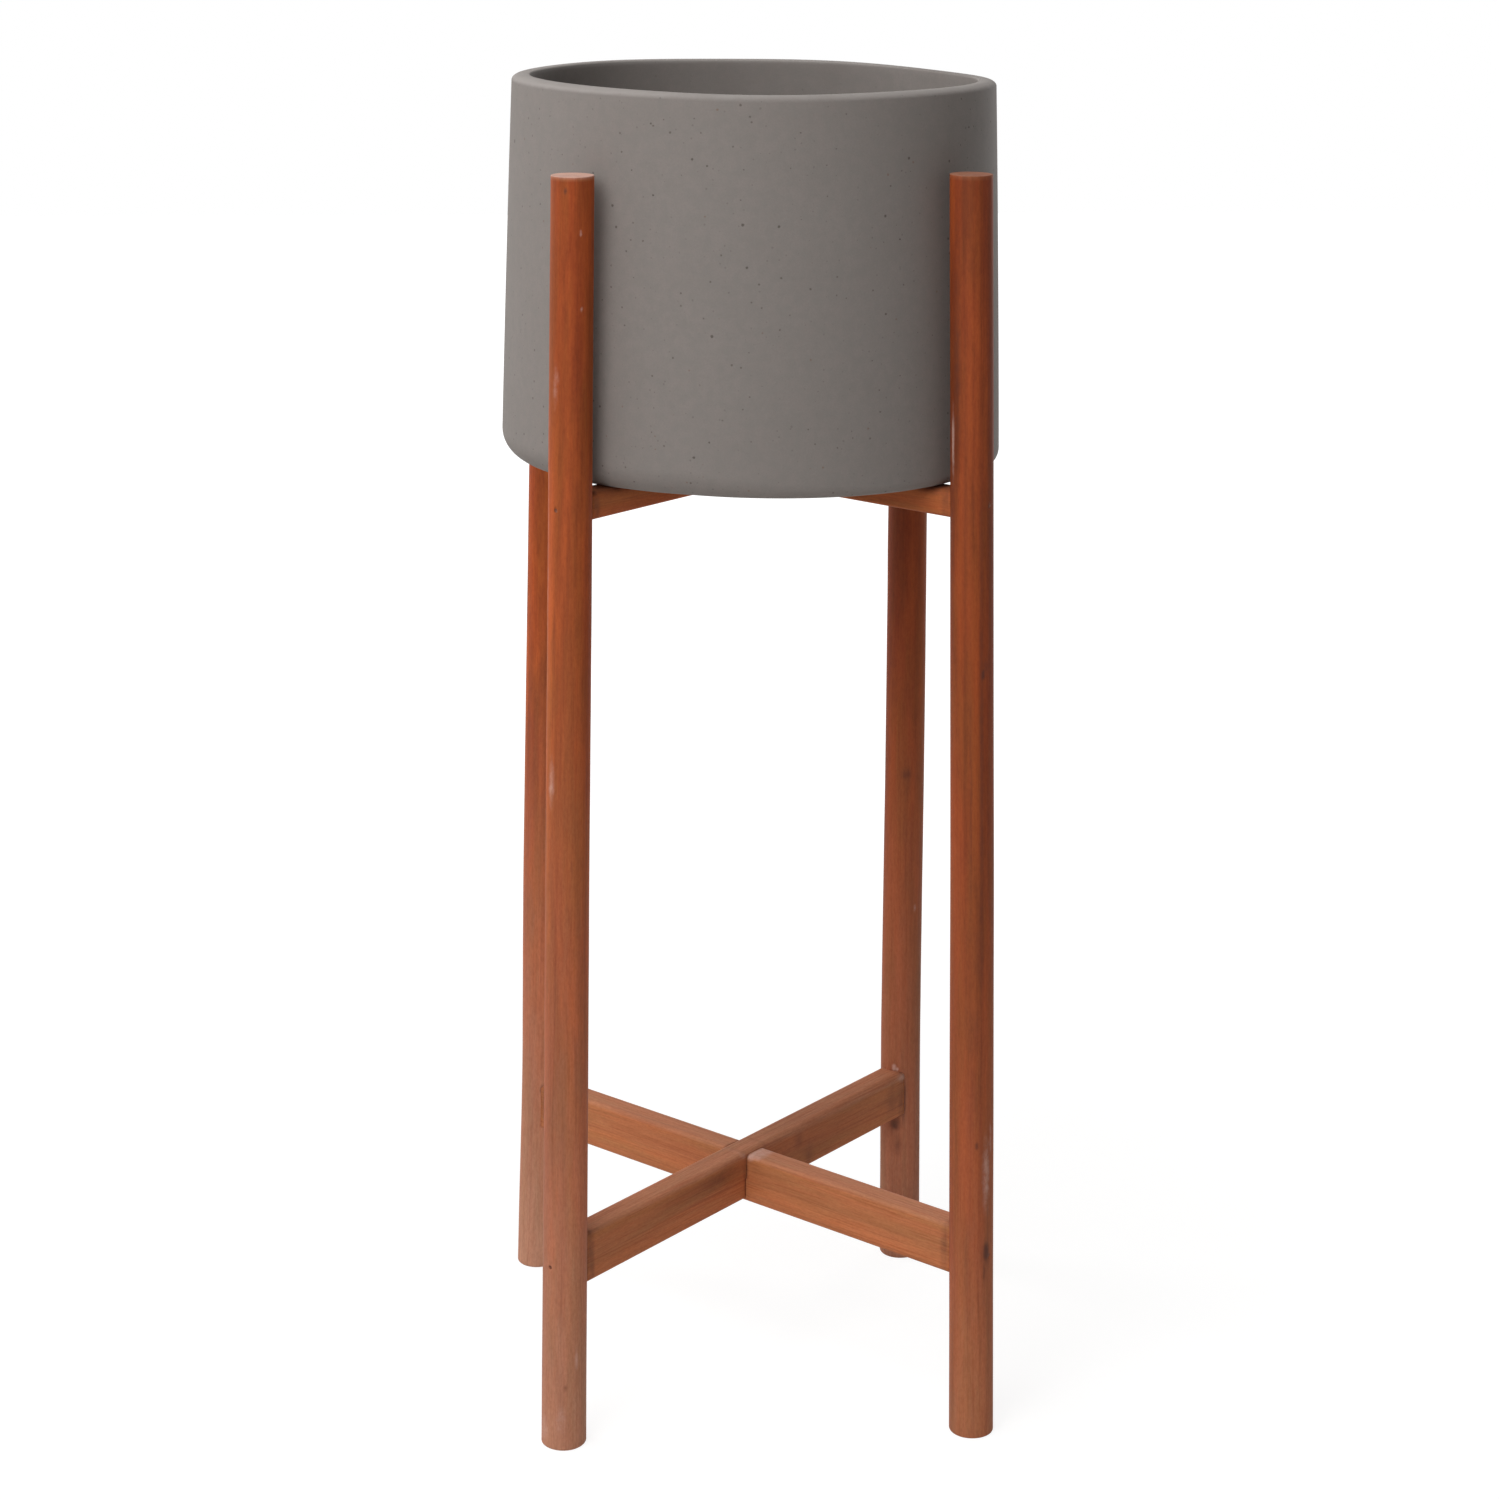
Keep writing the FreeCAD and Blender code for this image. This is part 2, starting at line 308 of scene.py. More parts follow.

# %% [markdown]
# ## Stain, wear and painted light
# Each stick could have a finish of its own, but one finish can serve them all, whatever happened to them, when
# the sticks carry more attributes: depth says how much darker the wood is, another how far it has bleached
# (most near the floor) and, on the bars' tops, a painted highlight, pale how far it is mixed towards light
# wood, another where knots, dirt and darker joints are and, at the upper bars' front ends under the pot, a
# painted shadow, and scuff where the surface was rubbed.

# %% Mix the stained wood
def stained_wood():
    wood = Paint("stained_wood")

    def stored(name, output="Fac"):
        return wood.node("ShaderNodeAttribute", {"attribute_name": name}, {}, output)

    grain = stored("grain", "Vector")
    stain_and_shadow, scuff, depth = stored("stain_and_shadow"), stored("scuff"), stored("depth")
    bleach_and_top_light, pale = stored("bleach_and_top_light"), stored("pale")
    place = wood.node("ShaderNodeTexCoord", {}, {}, "Object")
    grown = wood_grain(wood, grain)
    base = mix(wood, step(wood, grown.flow * 0.75 + grown.mottle * 0.25, 0.38, 0.62),
               colour(153, 65, 27), colour(192, 90, 38))
    light_wood = mix(wood, grown.mottle * 0.7, colour(222, 144, 88), colour(194, 112, 64))
    # this pale tone is bleached wood, and on the bars' tops a painted highlight
    bleached_and_lit_tone = mix(wood, grown.mottle * 0.8, colour(206, 155, 127), colour(178, 117, 90))
    base = mix(wood, pale, base, light_wood)
    base = mix(wood, bleach_and_top_light, base, bleached_and_lit_tone)
    base = mix(wood, depth, base, colour(94, 44, 26))
    for share, tint in (
        (step(wood, grown.fibre, 0.34, 0.66) * 0.28, (0.68, 0.6, 0.6, 1)),
        (step(wood, grown.fleck, 0.4, 0.64) * 0.3, (0.7, 0.64, 0.64, 1)),
        (grown.line * (pale * 0.5 + 0.16), (0.66, 0.5, 0.46, 1)),
        (grown.streak * 0.3, (0.5, 0.42, 0.44, 1)),
        (grown.ring * 0.15, (0.7, 0.66, 0.66, 1)),
        (grown.brown * (0.75 - bleach_and_top_light * 0.4 - pale * 0.3), (0.74, 0.95, 0.9, 1)),
    ):
        base = mix(wood, share, base, tint, "MULTIPLY")
    patchy = noise(wood, place, (260, 260, 180), 3.0, 0.65)
    blotch = noise(wood, place, (95, 95, 80), 2.0, 0.6)
    # knots, dirt and darker joints, and the pot's shadow painted at the upper bars' front ends
    dirt_and_shadow = step(wood, stain_and_shadow * (patchy * 0.7 + blotch * 0.7 + 0.3), 0.1, 0.9)
    base = mix(wood, dirt_and_shadow * 0.8, base, colour(72, 44, 38))
    rubbed = step(wood, scuff * (patchy * 1.5 + 0.2), 0.15, 0.85)
    base = mix(wood, rubbed * 0.62, base, colour(212, 176, 164))
    wood.feed(wood.shader, "Base Color", base)
    wood.feed(wood.shader, "Roughness", 0.62 + grown.fibre * 0.1 + rubbed * 0.15 - grown.streak * 0.05)
    wood.feed(wood.shader, "Specular IOR Level", 0.2)
    relief = grown.fibre * 0.45 + grown.mottle * 0.5 - grown.streak * 0.3 - grown.line * 0.2 - grown.ring * 0.1
    bump(wood, relief, 0.00018)
    return wood.owner


wood_finish = stained_wood()
print(wood_finish.name, "has", len(wood_finish.node_tree.nodes), "nodes")

# %% [markdown]
# ## Small finishes
# Raw beech for the hidden dowels, dulled steel with stain on it for the nails, and rubber for the plug. They
# are seldom seen, and one plain grey could do for all three. But the model may be taken apart in another scene,
# so each gets its own grain, wear and roughness.

# %% Mix beech, steel and rubber
def raw_beech():
    beech = Paint("raw_beech")
    place = beech.node("ShaderNodeTexCoord", {}, {}, "Object")
    fleck = noise(beech, place, (420, 420, 420), 3.0, 0.6)
    broad = noise(beech, place, (90, 90, 90), 2.0)
    base = mix(beech, step(beech, broad, 0.35, 0.65), colour(206, 172, 132), colour(220, 190, 152))
    base = mix(beech, step(beech, fleck, 0.55, 0.75) * 0.5, base, colour(160, 118, 84))
    beech.feed(beech.shader, "Base Color", base)
    beech.feed(beech.shader, "Roughness", fleck * 0.2 + 0.55)
    bump(beech, fleck, 0.0001)
    return beech.owner


def dull_steel():
    steel = Paint("dull_steel")
    place = steel.node("ShaderNodeTexCoord", {}, {}, "Object")
    brown = step(steel, noise(steel, place, (900, 900, 900), 3.0, 0.6), 0.3, 0.5)
    steel.feed(steel.shader, "Base Color", mix(steel, brown, colour(142, 84, 58), colour(108, 60, 40)))
    steel.feed(steel.shader, "Metallic", 0.2 - brown * 0.15)
    steel.feed(steel.shader, "Roughness", brown * 0.25 + 0.5)
    bump(steel, brown, 0.00005)
    return steel.owner


def black_rubber():
    rubber = Paint("black_rubber")
    place = rubber.node("ShaderNodeTexCoord", {}, {}, "Object")
    grit = noise(rubber, place, (1600, 1600, 1600), 2.0)
    dust = step(rubber, noise(rubber, place, (120, 120, 120), 3.0, 0.6), 0.5, 0.7)
    tone = mix(rubber, dust * 0.5, colour(38, 37, 36), colour(74, 70, 66))
    rubber.feed(rubber.shader, "Base Color", tone)
    rubber.feed(rubber.shader, "Roughness", dust * 0.15 + 0.68)
    rubber.feed(rubber.shader, "Specular IOR Level", 0.25)
    bump(rubber, grit, 0.00006)
    return rubber.owner


beech_finish, steel_finish, rubber_finish = raw_beech(), dull_steel(), black_rubber()
for name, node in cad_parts.items():
    if name.startswith(("dowels", "nails")):
        node.data.materials.clear()
        node.data.materials.append(beech_finish if name.startswith("dowels") else steel_finish)
print("finished", sum(n.startswith(("dowels", "nails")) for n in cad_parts), "fastener nodes")

# %% [markdown]
# ## Skins made of rings
# A leg, a bar, a pot and a plug all have one thing in common: they can be drawn as a row of closed outlines,
# with a skin stretched from each to the next. Subdividing a cylinder would give the same count of faces, but
# not the same control: here every ring is worked out, so it can be a little out of round or follow another
# piece.

# %% Stretch a skin over rings
def add_piece(name, points, faces, finish, body, slot):
    """A smooth piece from points and faces, in its finish, that moves with a body."""
    mesh = bpy.data.meshes.new(name)
    mesh.from_pydata([tuple(p) for p in points], [], faces)
    mesh.materials.append(finish)
    mesh.shade_smooth()
    piece = bpy.data.objects.new(name, mesh)
    scene.collection.objects.link(piece)
    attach(piece, body)
    return piece


def skin(rings, joined=False):
    """Points and faces of a skin over rings, closed at both ends unless the last ring joins the first."""
    rings = np.asarray(rings)
    rows, columns = rings.shape[:2]
    last = rows if joined else rows - 1
    faces = []
    for i in range(last):
        a, b = i * columns, (i + 1) % rows * columns
        for j in range(columns):
            k = (j + 1) % columns
            faces.append((a + j, a + k, b + k, b + j))
    if not joined:
        faces.append(tuple(reversed(range(columns))))
        faces.append(tuple(range((rows - 1) * columns, rows * columns)))
    return rings.reshape(-1, 3), faces


def carve(piece, cutters):
    """Cuts the cutters out of the piece, and throws them away."""
    finish = piece.data.materials[0]
    for cutter in cutters:
        cut = piece.modifiers.new("cut", "BOOLEAN")
        cut.operation = "DIFFERENCE"
        cut.solver = "EXACT"
        cut.object = cutter
    shaped = piece.evaluated_get(bpy.context.evaluated_depsgraph_get())
    mesh = bpy.data.meshes.new_from_object(shaped)
    piece.modifiers.clear()
    piece.data = mesh
    piece.data.materials.clear()
    piece.data.materials.append(finish)
    for cutter in cutters:
        bpy.data.objects.remove(cutter)
    return piece


def cutter(points, faces):
    """A piece that is only there to be cut out of another."""
    mesh = bpy.data.meshes.new("cutter")
    mesh.from_pydata([tuple(p) for p in points], [], faces)
    tool = bpy.data.objects.new("cutter", mesh)
    scene.collection.objects.link(tool)
    bpy.context.view_layer.update()
    return tool


print("ring tools ready")

# %% [markdown]
# ## Unevenness
# Hand work is never exact. A sum of a few slow waves, with their phases from a seeded random generator, gives a
# smooth unevenness that is the same on every run. Noise textures could do it too, but waves need no look-up and
# close neatly round a ring, where the last point meets the first.

# %% Slow waves
def waves(seed, around, along, count=7):
    """A function of angle and height that wanders between about -1 and 1."""
    dice = np.random.default_rng(seed)
    parts = [(dice.integers(0, around + 1), dice.uniform(-along, along), dice.uniform(0, 2 * math.pi))
             for _ in range(count)]

    def height_of(angle, z):
        return sum(np.sin(n * angle + k * z + phase) for n, k, phase in parts) / math.sqrt(count)

    return height_of


test = waves(1, 4, 30)(np.linspace(0, 2 * math.pi, 200), 0.3)
print("a sample wave runs from", round(test.min(), 2), "to", round(test.max(), 2))

# %% [markdown]
# ## The pot
# The pot was thrown on a wheel, so a wheel makes it here as well: half of its cross-section is drawn once and
# turned about the middle. The section is made of arcs, the same ones as in the measured model: a rounded foot,
# a wall that leans in a touch towards the top, and a rim that is crisp inside and rounds over outwards. A
# modifier could turn a drawn line too, but rings that are worked out here can each be a little uneven.

# %% Measure the pot
pot_widest = pot_high.x
pot_rim = 0.1381
pot_wall = 0.0105
pot_floor = seat + 0.014
rim_drop, rim_shoulder, rim_edge = 0.0036, 0.0062, 0.0011
rim_dip = 0.0002
belly = 0.56
full_foot, sharp_foot = 0.0155, 0.0055
inner_round = 0.012
drain = 0.011
print("pot radius", round(pot_widest, 4), "at its widest and", pot_rim, "at the rim")

# %% Draw arcs and straights
def arc(start, through, end, count):
    """Points on the circle through three points of the section, end left out."""
    (ax, az), (bx, bz), (cx, cz) = start, through, end
    d = 2 * (ax * (bz - cz) + bx * (cz - az) + cx * (az - bz))
    a2, b2, c2 = ax * ax + az * az, bx * bx + bz * bz, cx * cx + cz * cz
    mx = (a2 * (bz - cz) + b2 * (cz - az) + c2 * (az - bz)) / d
    mz = (a2 * (cx - bx) + b2 * (ax - cx) + c2 * (bx - ax)) / d
    radius = math.hypot(ax - mx, az - mz)
    first = math.atan2(az - mz, ax - mx)
    sweep = (math.atan2(cz - mz, cx - mx) - first + math.pi) % (2 * math.pi) - math.pi
    turns = [first + sweep * i / count for i in range(count)]
    return [(mx + radius * math.cos(turn), mz + radius * math.sin(turn)) for turn in turns]


def straight(start, end, count):
    """Points on a straight line of the section, end left out."""
    return [(start[0] + (end[0] - start[0]) * i / count, start[1] + (end[1] - start[1]) * i / count)
            for i in range(count)]


def corner(start, centre, end, radius, count):
    """A quarter round from start to end about centre."""
    towards = Vector((start[0] + end[0] - 2 * centre[0], start[1] + end[1] - 2 * centre[1]))
    middle = towards.normalized() * radius
    return arc(start, (centre[0] + middle.x, centre[1] + middle.y), end, count)


print("a quarter round in", len(corner((1, 0), (0, 0), (0, 1), 1, 4)), "steps")

# %% Draw the pot's section
def pot_section(foot_round):
    """Half of the pot's cross-section, from the drain hole out, up, over the rim and back down inside."""
    half_way = (seat + rim) / 2
    pot_middle = pot_rim + (pot_widest - pot_rim) * belly
    foot = (pot_widest - foot_round, seat)
    wall_low = (pot_widest, seat + foot_round)
    wall_top = (pot_rim, rim - rim_drop)
    rim_outer = (pot_rim - rim_shoulder, rim)
    rim_inner = (pot_rim - pot_wall + rim_edge, rim - rim_dip)
    inner_top = (pot_rim - pot_wall, rim - rim_dip - rim_edge)
    shoulder = [(pot_rim - rim_shoulder * (1 - math.cos(turn)), wall_top[1] + rim_drop * math.sin(turn))
                for turn in (math.pi / 24 * i for i in range(12))]
    inner_low = (pot_widest - pot_wall, pot_floor + inner_round)
    floor_edge = (pot_widest - pot_wall - inner_round, pot_floor)
    return np.array(
        straight((drain, seat), foot, 24)
        + corner(foot, (foot[0], seat + foot_round), wall_low, foot_round, 14)
        + arc(wall_low, (pot_middle, half_way), wall_top, 60)
        + shoulder
        + straight(rim_outer, rim_inner, 3)
        + corner(rim_inner, (rim_inner[0], inner_top[1]), inner_top, rim_edge, 6)
        + arc(inner_top, (pot_middle - pot_wall, half_way), inner_low, 44)
        + corner(inner_low, (floor_edge[0], pot_floor + inner_round), floor_edge, inner_round, 10)
        + straight(floor_edge, (drain, pot_floor), 18)
        + straight((drain, pot_floor), (drain, seat), 6)
    )


full_section, sharp_section = pot_section(full_foot), pot_section(sharp_foot)
print("section of", len(full_section), "points, rim at", round(rim, 4), "and foot at", round(seat, 4))

# %% [markdown]
# ## A wavy rim
# The potter's fingers left slow waves, up to two millimetres at the rim, which fade out towards the foot. Noise
# could give waves like them, but these were read off the picture, so they are written as a short row of
# waves. At the front right the foot is less rounded, because the clay was trimmed less there, so the rings pass
# from one section to a second, tighter one.

# %% Turn the section into the pot
around = 320
angles = np.arange(around) * 2 * math.pi / around
rim_up_waves = [(-0.894, -0.317), (-0.039, -0.275), (-0.183, -0.441),
                (-0.138, -0.063), (0.084, -0.108), (0.13, 0.0)]
rim_out_waves = [(0.844, 0.338), (0.203, -0.018), (-0.158, -0.02), (0.065, 0.201)]
rim_lift = 0.0007
sharp_side = math.radians(322)
finger_marks = 0.00015


def sway(pairs):
    """A wave round the pot in metres, from the cosine and sine of each turn in millimetres."""
    turns = enumerate(pairs, 1)
    return sum(c * np.cos(n * angles) + s * np.sin(n * angles) for n, (c, s) in turns) / 1000


rim_up, rim_out, off_centre = sway(rim_up_waves) + rim_lift, sway(rim_out_waves), sway([(0.35, 0.0)])
wall_wave = waves(12, 5, 18, 8)
sharp = np.clip(0.5 + 1.6 * (np.cos(angles - sharp_side) - 0.62), 0, 1)
rings = []
# High is 0 at the foot and 1 at the rim. Side is 0 on the floor of the pot and 1 on its wall.
for full, tight in zip(full_section, sharp_section):
    radius, z = (full[i] + (tight[i] - full[i]) * sharp for i in (0, 1))
    high = np.maximum(0.0, (z - seat) / (rim - seat))
    side = np.clip((radius - 0.1) / 0.02, 0, 1)
    squeeze = (wall_wave(angles, z) - 1) * finger_marks * side
    r = radius + squeeze + (rim_out - off_centre) * high ** 2 * side + off_centre * side
    rings.append(np.stack([r * np.cos(angles), r * np.sin(angles), z + rim_up * high ** 3 * side], 1))
pot = add_piece("stoneware_pot", *skin(rings, joined=True), stoneware, "pot", "speckled_ceramic")
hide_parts("pot")
print("pot:", len(pot.data.vertices), "points")

# %% [markdown]
# ## Where the legs stand
# Four legs stand on two crossing lines, a touch closer side by side than front to back. Their tops are close
# round the pot and their feet a little further out, so each leans by one or two degrees, and each is thinner at
# its top. Everything on the stand asks the same questions: where is this leg's middle at this height, how thick
# is it there, and which way does it stand? The answers could be typed in wherever they are needed, but then a
# change would have to be made in many places, so small functions give them. One more tells how the stick has
# bowed, by about a millimetre, as wood does when it dries.

# %% Lay out the legs
leg_height = 0.748
top_radius, foot_radius = 0.0118, 0.0133
top_reach = 0.1579
stand = {
    "front_left": {"angle": 226.2, "foot": 0.173, "bows": [(0.748, 0.2, 0.0002)]},
    "front_right": {"angle": -46.2, "foot": 0.1812, "bows": [(0.8, 0.2, -0.0014), (0.5, 0.1, -0.0003)]},
    "back_left": {"angle": 133.8, "foot": 0.1812, "bows": [(0.13, 0.09, 0.0014)]},
    "back_right": {"angle": 46.2, "foot": 0.173, "bows": [(0.15, 0.15, -0.0009)]},
}
bar_levels = {"upper": {"top": seat, "tall": 0.0151}, "lower": {"top": 0.1324, "tall": 0.031}}
bar_width = 0.018


def reach(leg, z):
    """How far a leg's middle is from the middle of the planter at a height."""
    return stand[leg]["foot"] + (top_reach - stand[leg]["foot"]) * z / leg_height


def bow(leg, z):
    """How far a leg strays sideways from its straight line, in metres along X."""
    return sum(size * np.exp(-(((z - place) / width) ** 2)) for place, width, size in stand[leg]["bows"])


def thickness(z):
    """A leg's radius at a height."""
    return foot_radius + (top_radius - foot_radius) * z / leg_height


def direction(leg):
    """Which way a leg stands from the middle."""
    angle = math.radians(stand[leg]["angle"])
    return np.array([math.cos(angle), math.sin(angle), 0])


for leg in stand:
    lean = math.degrees(math.atan((stand[leg]["foot"] - top_reach) / leg_height))
    print(leg, "leans", round(lean, 2), "degrees")

# %% [markdown]
# ## Marks on the wood
# Real sticks have knots, dirt where parts meet, and places where the stain was rubbed off. Each mark is written
# as where it sits on its stick, how far it reaches both ways, and how strong it is. It could be painted as an
# image, but marks of this size need no more than the stick's own points: each point stores how strongly a mark
# covers it, and the finish breaks the soft spot up with noise.

# %% Store marks and grain on the points
def store(piece, name, kind, values):
    """Writes one value for each point of a piece into an attribute that its finish can read."""
    layer = piece.data.attributes.new(name, kind, "POINT")
    field = "vector" if kind == "FLOAT_VECTOR" else "value"
    layer.data.foreach_set(field, np.asarray(values, np.float32).ravel())


def cover(across, along, marks):
    """How strongly the marks cover points, from their places across and along a stick."""
    total = np.zeros(len(across))
    for at_across, at_along, half_across, half_along, strength in marks:
        spread = ((across - at_across) / half_across) ** 2 + ((along - at_along) / half_along) ** 2
        total = np.maximum(total, strength * np.exp(-spread))
    return total


def points_of(piece):
    flat = np.zeros(len(piece.data.vertices) * 3)
    piece.data.vertices.foreach_get("co", flat)
    return flat.reshape(-1, 3)


print("mark tools ready")

# %% [markdown]
# ## The legs
# Each leg was a sawn square stick that was run through a rounding plane, so it is round with a few flat
# moments. Rings every few millimetres follow the leaning middle line. Near both ends the rings shrink along a
# quarter round, which softens the sawn edge. A cylinder with a bevel would be quicker, but it would be straight
# and perfectly round. The nail heads sit in small pockets, cut by a drill-shaped cutter.

# %% Shape the legs
leg_around = 108
leg_turn = np.arange(leg_around) * 2 * math.pi / leg_around
leg_steps = 320
foot_edge, top_edge = 0.0016, 0.0004
leg_uneven, leg_ripple = 0.00009, 0.00003


def end_rings(radius, edge, steps=5):
    """Radius and height of the rings over a rounded end, from the middle of the cap outwards."""
    flat = radius - edge
    rings = [(flat * share, 0.0) for share in (0.05, 0.3, 0.55, 0.8, 0.95)]
    for i in range(steps + 1):
        turn = math.pi / 2 * i / steps
        rings.append((flat + edge * math.sin(turn), edge * (1 - math.cos(turn))))
    return rings


def leg_rings(leg, seed):
    """Rings of a leg from its foot to its top."""
    uneven = waves(seed, 4, 26, 9)
    ripple = waves(seed + 50, 6, 140, 7)
    foot_end, top_end = end_rings(foot_radius, foot_edge), end_rings(top_radius, top_edge)
    heights = np.linspace(foot_end[-1][1], leg_height - top_end[-1][1], leg_steps)
    stations = foot_end + [(thickness(z), z) for z in heights[1:-1]]
    stations += [(radius, leg_height - drop) for radius, drop in reversed(top_end)]
    rings = []
    for radius, z in stations:
        middle = direction(leg) * reach(leg, z) + np.array([bow(leg, z), 0, z])
        worn = uneven(leg_turn, z) * leg_uneven + ripple(leg_turn, z) * leg_ripple
        r = radius + worn * radius / foot_radius
        rings.append(middle + np.stack([r * np.cos(leg_turn), r * np.sin(leg_turn), 0 * leg_turn], 1))
    return rings


print("a leg has", leg_steps, "rings of", leg_around, "points and rounded ends")

# %% Shape the drill for the nail pockets
drill_sides = 28
# Each ring of the drill: how far outside the leg's surface it lies, and its radius.
drill_rings = ((-0.00055, 0.0012), (-0.0001, 0.00125), (0.004, 0.0018))


def drill(leg, level):
    """A cutter for the nail head's pocket in a leg."""
    bar = bar_levels[level]
    z = bar["top"] - bar["tall"] / 2
    out = direction(leg)
    side = np.array([-out[1], out[0], 0])
    turn = np.arange(drill_sides) * 2 * math.pi / drill_sides
    surface = reach(leg, z) + thickness(z)
    rings = []
    for depth, radius in drill_rings:
        middle = out * (surface + depth) + np.array([bow(leg, z), 0, z])
        rings.append(middle + radius * (np.outer(np.cos(turn), side) + np.outer(np.sin(turn), (0, 0, 1))))
    return cutter(*skin(rings))


print("nail pockets", round(-drill_rings[0][0] * 1000, 2), "mm deep")

# %% [markdown]
# ## What happened to each leg
# The four sticks differ in tone and have had different lives. Depth (how much darker), fading, sawn (bare wood
# on the top) and rubbed are one number for the whole leg. Lighter and darker are wide soft patches, stain is
# knots and dirt, and scuff is rubbed spots. Such a list could be random, but these marks were found on the
# picture, and they are what makes the four legs look like four real sticks.

# %% List the marks on the legs
# A mark: degrees round the leg, metres up, then how far it reaches both ways, and its strength.
leg_marks = {
    "front_left": {
        "depth": 0.0, "bleach_and_top_light": 0.85, "sawn": 0.95, "rubbed": 1.0,
        "lighter": [(-105, 0.42, 70, 0.17, 0.2)],
        "darker": [(-150, 0.69, 45, 0.12, 0.5), (-60, 0.69, 40, 0.14, 0.3), (-95, 0.03, 20, 0.04, 0.14)],
        "stain_and_shadow": [(-111, 0.7405, 6, 0.0022, 0.8), (-82, 0.362, 6, 0.007, 0.4), (-90, 0.041, 8, 0.003, 0.5),
                  (-4, 0.117, 12, 0.019, 0.7), (-4, 0.567, 12, 0.012, 0.5)],
        "scuff": [(-70, 0.7183, 5, 0.0014, 1.0), (-66, 0.6767, 5, 0.0013, 0.9), (-137, 0.635, 14, 0.016, 0.45),
                  (-143, 0.411, 14, 0.018, 0.55), (-103, 0.02, 26, 0.012, 0.4), (-60, 0.0585, 8, 0.01, 0.5),
                  (-157, 0.012, 26, 0.01, 0.5), (-172, 0.55, 12, 0.15, 0.35)],
    },
    "front_right": {
        "depth": 0.41, "bleach_and_top_light": 0.38, "sawn": 0.55, "rubbed": 0.3,
        "lighter": [(-100, 0.03, 80, 0.07, 0.38)],
        "darker": [(-150, 0.25, 26, 0.13, 0.2), (-50, 0.6, 26, 0.3, 0.12), (-72, 0.45, 10, 0.28, 0.28),
                   (-118, 0.5, 7, 0.3, 0.2)],
        "stain_and_shadow": [(-69, 0.4705, 7, 0.0032, 1.0), (-60, 0.4745, 15, 0.008, 0.5), (-57, 0.1195, 13, 0.007, 1.0),
                  (-64, 0.1085, 6, 0.01, 0.6), (-58, 0.118, 18, 0.011, 0.55), (-81, 0.085, 4, 0.03, 0.5),
                  (-75, 0.055, 4, 0.02, 0.4), (-86, 0.1875, 6, 0.003, 0.75), (-103, 0.4, 6, 0.14, 0.4),
                  (-74, 0.42, 8, 0.2, 0.5), (-142, 0.65, 18, 0.1, 0.48)],
        "scuff": [(-57, 0.168, 17, 0.03, 0.55), (-159, 0.601, 8, 0.024, 0.7), (-40, 0.19, 9, 0.014, 0.5)],
    },
    "back_left": {
        "depth": 0.03, "bleach_and_top_light": 1.0, "sawn": 0.6, "rubbed": 0.6,
        "lighter": [],
        "darker": [],
        "stain_and_shadow": [(-119, 0.21, 5, 0.014, 0.28), (-111, 0.19, 5, 0.014, 0.3), (-103, 0.168, 5, 0.014, 0.32),
                  (-96, 0.148, 5, 0.014, 0.36), (-78, 0.21, 5, 0.014, 0.26), (-82, 0.185, 5, 0.014, 0.3),
                  (-86, 0.16, 5, 0.014, 0.32), (-91, 0.1285, 9, 0.0036, 0.9)],
        "scuff": [],
    },
    "back_right": {
        "depth": 0.45, "bleach_and_top_light": 0.75, "sawn": 0.5, "rubbed": 0.4,
        "lighter": [(-20, 0.4, 30, 0.3, 0.24)],
        "darker": [],
        "stain_and_shadow": [(-95, 0.342, 22, 0.006, 0.5), (-88, 0.117, 7, 0.018, 0.9), (-115, 0.098, 22, 0.006, 0.75),
                  (-105, 0.083, 15, 0.01, 0.5), (-120, 0.1345, 16, 0.003, 0.6)],
        "scuff": [(-118, 0.1385, 8, 0.0024, 1.0), (-108, 0.1372, 5, 0.0015, 0.8), (-60, 0.25, 8, 0.004, 0.4)],
    },
}
print("knots and dirt on the legs:", sum(len(marks["stain_and_shadow"]) for marks in leg_marks.values()))

# %% Make the legs
fade_height = 0.5
next_stick = 1.7  # moves the noise on, so that no two legs have the same grain
# Low is 1 at the floor and 0 from the fade height up. Cap is 1 on the sawn top.
for number, leg in enumerate(stand):
    marks = leg_marks[leg]
    points, faces = skin(leg_rings(leg, 20 + number))
    piece = add_piece(f"wood_leg_{leg}", points, faces, wood_finish, "stand", "stained_wood")
    carve(piece, [drill(leg, level) for level in bar_levels])
    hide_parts(f"leg_{leg}")
    at = points_of(piece)
    z = at[:, 2]
    middle = np.outer(reach(leg, z), direction(leg))
    off = at[:, :2] - middle[:, :2] - np.stack([bow(leg, z), 0 * z], 1)
    turned = np.degrees(np.arctan2(off[:, 1], off[:, 0]))
    low = np.clip(1 - z / fade_height, 0, 1)
    cap = np.clip((z - leg_height + 0.0006) / 0.0005, 0, 1)
    sawn = cap * marks["sawn"]
    worn = np.maximum(cover(turned, z, marks["scuff"]), cap * marks["rubbed"])
    darkening = marks["depth"] * (1 - low * 0.6) + cover(turned, z, marks["darker"])
    store(piece, "grain", "FLOAT_VECTOR", np.stack([off[:, 0], off[:, 1], z + next_stick * number], 1))
    store(piece, "stain_and_shadow", "FLOAT", cover(turned, z, marks["stain_and_shadow"]))
    store(piece, "scuff", "FLOAT", worn)
    store(piece, "depth", "FLOAT", darkening)
    store(piece, "bleach_and_top_light", "FLOAT", np.maximum(marks["bleach_and_top_light"] * low ** 1.6, sawn))
    store(piece, "pale", "FLOAT", sawn * 0.6 + cover(turned, z, marks["lighter"]))
    print(piece.name, len(at), "points")

# %% [markdown]
# ## The bars
# Two thin bars cross under the pot and carry it, and two tall ones cross low down. All four are square sticks
# with their long edges rounded over. Their ends are hollowed to fit round the legs, and where two cross, each
# gives up half of its height. Each end could be hollowed by cutting a leg out of it, but the hollow comes for
# free when every line of the skin ends at the leg's surface, and so only the half lap is a cut. One lower bar
# was glued in three millimetres higher at its back end, so it stands a little proud where the two cross, and
# one upper bar a millimetre lower at its front end.

